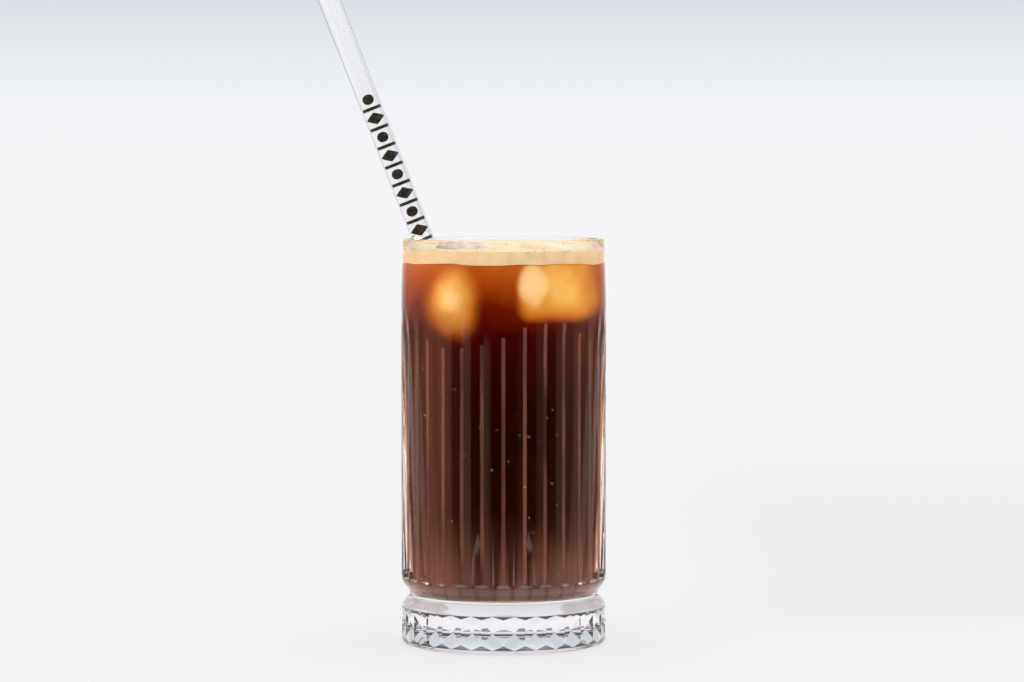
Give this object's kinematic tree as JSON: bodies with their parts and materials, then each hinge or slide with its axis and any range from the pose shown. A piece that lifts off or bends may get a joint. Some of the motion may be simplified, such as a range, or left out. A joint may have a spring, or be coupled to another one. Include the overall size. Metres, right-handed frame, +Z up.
{
  "type": "iced coffee",
  "caption": "Iced coffee in a tall pressed highball glass with fluted sides and a cut foot, under a layer of crema, with floating ice and a leaning glass straw.",
  "frame": {"origin": "centre of the flat underside of the glass's foot", "axes": "+Z up along the axis of the glass, -Y towards the front of the drink, so the straw leans to -X"},
  "size_m": [0.1115, 0.076, 0.2529],
  "materials": {
    "clear_glass": "clear pressed soda-lime glass, fire-polished",
    "coffee": "dark liquid coffee, orange-brown near the surface",
    "crema": "fine cream-coloured foam",
    "ice": "wet, slightly cloudy ice",
    "straw_glass": "clear drawn glass tube",
    "straw_print": "dark fired-on marks on the straw"
  },
  "bodies": {
    "root": {"glass": "clear_glass", "coffee": "coffee", "foam": "crema", "ice_left": "ice", "ice_right": "ice", "straw": "straw_glass"}
  },
  "joints": []
}
